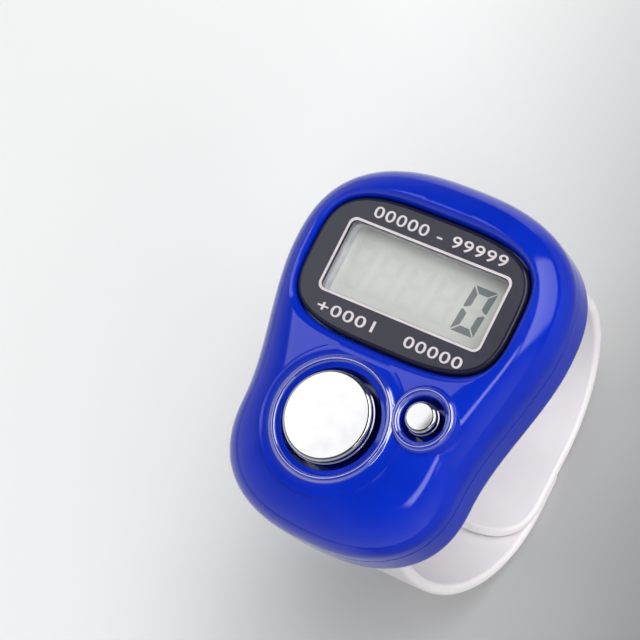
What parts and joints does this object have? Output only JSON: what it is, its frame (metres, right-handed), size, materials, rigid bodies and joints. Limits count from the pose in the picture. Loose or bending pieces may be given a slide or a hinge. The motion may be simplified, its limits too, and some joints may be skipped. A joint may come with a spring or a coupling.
{
  "type": "digital finger counter",
  "caption": "Pear-shaped digital finger counter with a display, a large chrome count button, a small chrome reset button and a soft two-strap finger ring.",
  "frame": {"origin": "centre of the ring's flat underside, below the middle of the case", "axes": "+Z out of the display's face, +Y from the buttons to the display, +X to the right as the display is read; the finger goes through along X"},
  "size_m": [0.0312, 0.0396, 0.0471],
  "materials": {
    "blue_plastic": "glossy moulded deep blue plastic",
    "black_panel": "glossy black panel with fine white print",
    "clear_window": "clear polished plastic window",
    "lcd_glass": "display glass with a polariser",
    "reflector_foil": "satin grey-green reflector foil",
    "white_plastic": "moulded white plastic",
    "zebra_rubber": "striped conductive rubber",
    "board": "green solder mask",
    "epoxy": "black epoxy drop",
    "capacitor_ceramic": "tan ceramic with tinned ends",
    "grey_rubber": "grey silicone rubber",
    "cell_steel": "satin nickelled steel",
    "contact_steel": "nickelled spring steel",
    "screw_steel": "zinc-plated steel",
    "frosted_strap": "soft frosted translucent white plastic",
    "chrome": "bright chrome plating",
    "tape": "thin black adhesive tape",
    "grey_foam": "soft grey foam"
  },
  "bodies": {
    "case": {"front_shell": "blue_plastic", "back_cover": "blue_plastic", "display_bezel": "black_panel", "display_window": "clear_window", "bezel_tape": "tape", "window_gasket": "grey_foam", "lcd_front_glass": "lcd_glass", "lcd_rear_glass": "lcd_glass", "lcd_reflector": "reflector_foil", "lcd_frame": "white_plastic", "zebra_strip": "zebra_rubber", "circuit_board": "board", "chip_blob": "epoxy", "capacitor": "capacitor_ceramic", "count_dome": "grey_rubber", "reset_dome": "grey_rubber", "button_cell": "cell_steel", "battery_clip": "contact_steel", "battery_spring": "contact_steel", "upper_strap": "frosted_strap", "case_screw_1": "screw_steel", "case_screw_2": "screw_steel", "board_screw_1": "screw_steel", "board_screw_2": "screw_steel", "board_screw_3": "screw_steel", "board_screw_4": "screw_steel"},
    "count_button": {"count_button": "chrome"},
    "reset_button": {"reset_button": "chrome"},
    "lower_strap": {"lower_strap": "frosted_strap"}
  },
  "joints": [
    {"name": "count_press", "type": "slide", "parent": "case", "child": "count_button", "axis": [0, 0, -1], "range_m": [0, 0.0008], "stiffness_N_per_m": 1500, "springref_m": -0.0003, "deforming": ["count_dome"]},
    {"name": "reset_press", "type": "slide", "parent": "case", "child": "reset_button", "axis": [0, 0, -1], "range_m": [0, 0.0006], "stiffness_N_per_m": 1500, "springref_m": -0.0003, "deforming": ["reset_dome"]},
    {"name": "strap_open", "type": "hinge", "parent": "case", "child": "lower_strap", "pos_m": [0, -0.01525, 0.0361], "axis": [-1, 0, 0], "range_deg": [0, 40]}
  ]
}
